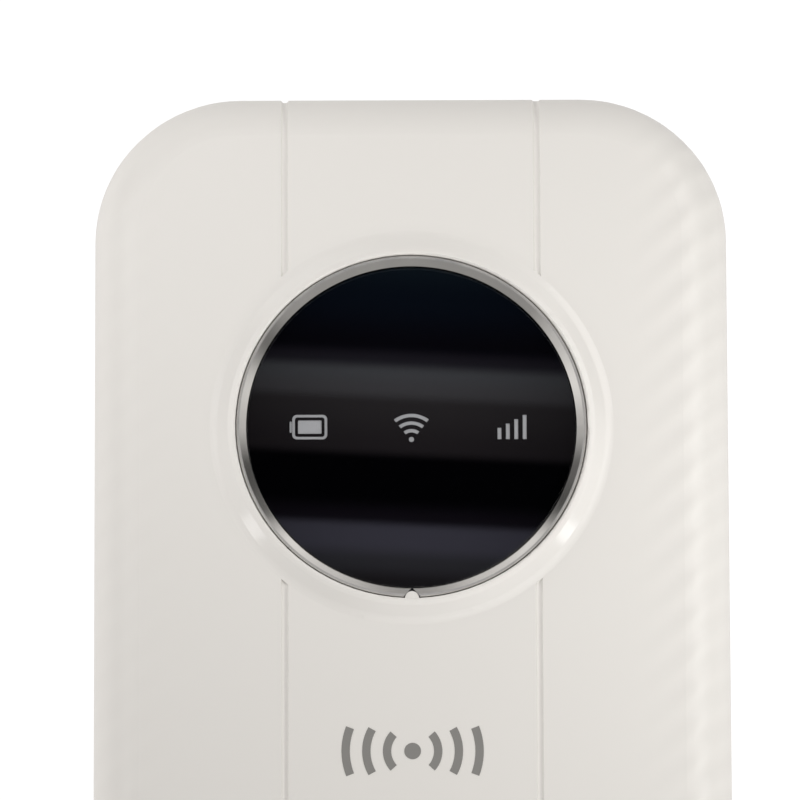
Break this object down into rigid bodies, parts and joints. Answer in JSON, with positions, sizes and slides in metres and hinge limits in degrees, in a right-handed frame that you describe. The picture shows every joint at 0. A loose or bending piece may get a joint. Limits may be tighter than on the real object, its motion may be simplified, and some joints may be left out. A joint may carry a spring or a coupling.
{
  "type": "mobile hotspot",
  "caption": "Pocket mobile hotspot: rounded white three-shell case, round dark status display in a silver ring, lift-off back, battery, card slot, power key, charging port.",
  "frame": {"origin": "middle of the flat back face that the hotspot rests on", "axes": "+Z out of the display face, +Y towards the top end that has the power key, +X to the right seen from the front"},
  "size_m": [0.065, 0.1084, 0.0153],
  "materials": {
    "case_white": "satin moulded, faint diagonal ribs along one long edge",
    "frame_white": "fine moulded",
    "trim_silver": "bright vacuum-plated",
    "lens_clear": "hard-coated, polished",
    "mask_black": "screen printed",
    "diffuser_grey": "frosted film",
    "adhesive_black": "foam adhesive",
    "light_box_white": "moulded",
    "led_resin": "clear resin over phosphor",
    "mark_grey": "pad-printed ink",
    "steel": "zinc-plated, machined",
    "battery_wrap": "heat-shrunk film",
    "battery_end": "fine moulded",
    "gold_plate": "gold flash",
    "blank_label": "satin label stock",
    "black_plastic": "glass-filled moulding",
    "board_green": "solder mask",
    "tin_plate": "tin-plated sheet",
    "chip_black": "moulded epoxy",
    "capacitor_tan": "fired ceramic",
    "ferrite_grey": "ferrite composite",
    "card_white": "laminated card",
    "copper_film": "polyimide over copper",
    "graphite": "graphite sheet",
    "gap_pad": "silicone gap pad"
  },
  "bodies": {
    "back_cover": {"back_cover": "case_white"},
    "battery": {"battery_cell": "battery_wrap", "battery_cap": "battery_end", "battery_pads": "gold_plate", "battery_label": "blank_label"},
    "battery_contacts": {"battery_pins": "gold_plate"},
    "sim_card": {"sim_card": "card_white", "sim_chip": "gold_plate"},
    "power_button": {"power_button": "case_white", "power_plunger": "black_plastic"},
    "reset_plunger": {"reset_plunger": "black_plastic"},
    "device": {"front_cover": "case_white", "display_ring": "trim_silver", "display_lens": "lens_clear", "icon_mask": "mask_black", "diffuser_sheet": "diffuser_grey", "lens_gasket": "adhesive_black", "light_box": "light_box_white", "status_leds": "led_resin", "front_mark": "mark_grey", "middle_frame": "frame_white", "frame_screws": "steel", "battery_connector": "black_plastic", "main_board": "board_green", "board_screws": "steel", "modem_shield": "tin_plate", "wifi_shield": "tin_plate", "modem_chip": "chip_black", "memory_chip": "chip_black", "wifi_chip": "chip_black", "power_chip": "chip_black", "crystal": "tin_plate", "capacitors": "capacitor_tan", "inductors": "ferrite_grey", "usb_shell": "steel", "usb_tongue": "black_plastic", "usb_contacts": "gold_plate", "sim_socket_base": "black_plastic", "sim_socket_cover": "steel", "sim_contacts": "gold_plate", "power_switch": "black_plastic", "reset_switch": "steel", "wifi_antenna": "copper_film", "main_antenna": "copper_film", "diversity_antenna": "copper_film", "antenna_springs": "gold_plate", "thermal_pad": "gap_pad", "heat_spreader": "graphite"}
  },
  "joints": [
    {"name": "cover_lift", "type": "slide", "parent": "back_cover", "child": "device", "axis": [0, 0, 1], "range_m": [0, 0.03]},
    {"name": "battery_lift", "type": "slide", "parent": "device", "child": "battery", "axis": [0, 0, -1], "range_m": [0, 0.012]},
    {"name": "contact_press", "type": "slide", "parent": "device", "child": "battery_contacts", "axis": [0, -1, 0], "range_m": [0, 0.0003]},
    {"name": "sim_slide", "type": "slide", "parent": "device", "child": "sim_card", "axis": [1, 0, 0], "range_m": [0, 0.0155]},
    {"name": "power_press", "type": "slide", "parent": "device", "child": "power_button", "axis": [0, -1, 0], "range_m": [0, 0.00035]},
    {"name": "reset_press", "type": "slide", "parent": "device", "child": "reset_plunger", "axis": [0, 0, 1], "range_m": [0, 0.0002]}
  ],
  "couplings": [
    {"joint": "battery_lift", "follows": "cover_lift", "ratio": 0.4}
  ]
}
